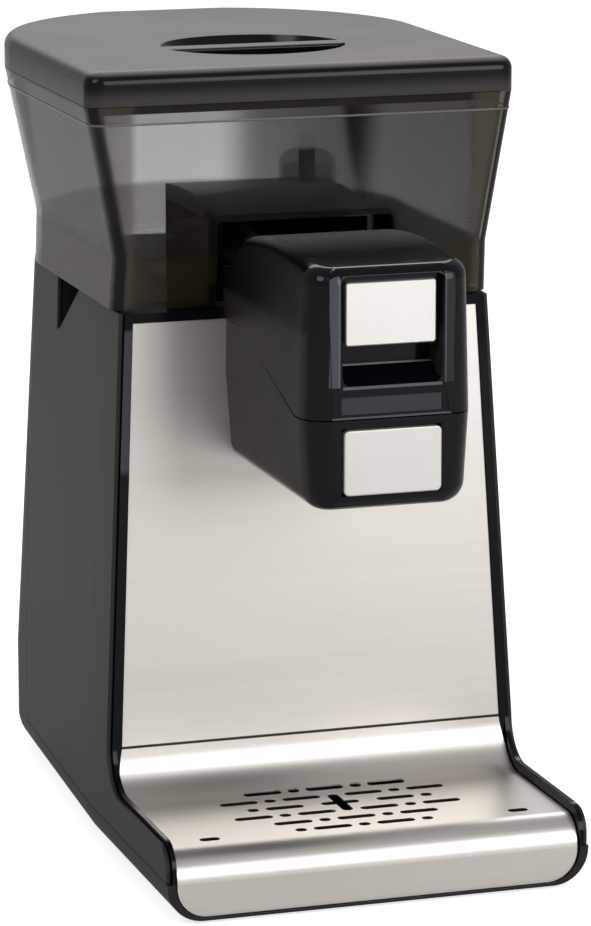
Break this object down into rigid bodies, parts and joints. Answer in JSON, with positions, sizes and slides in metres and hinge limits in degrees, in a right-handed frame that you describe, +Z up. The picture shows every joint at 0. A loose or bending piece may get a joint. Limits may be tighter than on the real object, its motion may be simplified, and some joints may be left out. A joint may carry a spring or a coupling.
{
  "type": "pour-over coffee brewer",
  "caption": "Single-cup pour-over coffee brewer with a smoke water tank and hinged lid, a brew head with lifting jaw and push button, steel front and lift-out drip tray.",
  "frame": {"origin": "bottom centre of the bounding box, on the counter under the feet", "axes": "+Z up, +X to the right of the front, -Y towards the person, so the drip tray and brew head face -Y"},
  "size_m": [0.203, 0.3635, 0.362],
  "materials": {
    "stainless": "horizontal brushing",
    "steel": "satin",
    "zinc": "zinc plated sheet",
    "smoke": "smoke grey translucent plastic, satin",
    "lid_grey": "warm dark grey, satin",
    "side_grey": "charcoal, fine grain",
    "gloss_black": "piano black",
    "black": "moulded black",
    "silver": "satin silver, bare",
    "rubber": "matte",
    "silicone": "milky silicone",
    "white_plastic": "natural nylon",
    "board": "laminate with components",
    "brass": "machined"
  },
  "bodies": {
    "body": {"air_hose": "silicone", "air_pump": "black", "base_pan": "black", "base_screws": "steel", "board_screws": "steel", "board_standoffs": "brass", "boiler": "steel", "boiler_lid": "steel", "boiler_stand": "black", "brew_switch": "black", "button_spring": "steel", "chassis_plate": "zinc", "control_board": "board", "cord_gland": "black", "fill_hose": "silicone", "fill_valve": "black", "front_frame": "gloss_black", "front_panel": "stainless", "gland_nut": "black", "head_hinge_pin": "steel", "head_housing": "gloss_black", "heating_element": "steel", "hinge_bracket": "zinc", "hot_water_hose": "silicone", "left_side_panel": "side_grey", "level_float_cap": "white_plastic", "lid_hinge_pin": "steel", "notch_liner": "black", "outlet_strainer": "white_plastic", "pod_holder": "black", "pump_mounts": "rubber", "rear_cover": "side_grey", "right_side_panel": "side_grey", "rubber_feet": "rubber", "switch_socket": "black", "tank_deck": "black", "tank_seal": "silicone", "temperature_probe": "brass", "water_port": "black", "water_tank": "smoke"},
    "lid": {"tank_lid": "lid_grey"},
    "jaw": {"head_cover": "gloss_black", "head_bezel": "gloss_black", "upper_plate": "silver", "shower_head": "steel", "head_gasket": "silicone", "feed_tube": "silicone"},
    "button": {"brew_button": "silver"},
    "tray": {"drip_pan": "black"},
    "tray_top": {"tray_cover": "stainless"},
    "rocker": {"power_rocker": "gloss_black"},
    "float": {"level_float": "black"}
  },
  "joints": [
    {"name": "lid_hinge", "type": "hinge", "parent": "body", "child": "lid", "pos_m": [0, 0.177, 0.35], "axis": [-1, 0, 0], "range_deg": [0, 95]},
    {"name": "head_hinge", "type": "hinge", "parent": "body", "child": "jaw", "pos_m": [0, -0.052, 0.262], "axis": [-1, 0, 0], "range_deg": [0, 23]},
    {"name": "brew_button", "type": "slide", "parent": "body", "child": "button", "axis": [0, 1, 0], "range_m": [0, 0.002], "stiffness_N_per_m": 400, "springref_m": -0.001, "deforming": ["button_spring"]},
    {"name": "tray_lift", "type": "slide", "parent": "body", "child": "tray", "axis": [0, -0.25, 0.9682], "range_m": [0, 0.06]},
    {"name": "tray_cover_lift", "type": "slide", "parent": "tray", "child": "tray_top", "axis": [0, -0.25, 0.9682], "range_m": [0, 0.04]},
    {"name": "power_switch", "type": "hinge", "parent": "body", "child": "rocker", "pos_m": [-0.016, 0.169, 0.036], "axis": [1, 0, 0], "range_deg": [0, 14]},
    {"name": "level_float", "type": "slide", "parent": "body", "child": "float", "axis": [0, 0, 1], "range_m": [0, 0.02]}
  ]
}
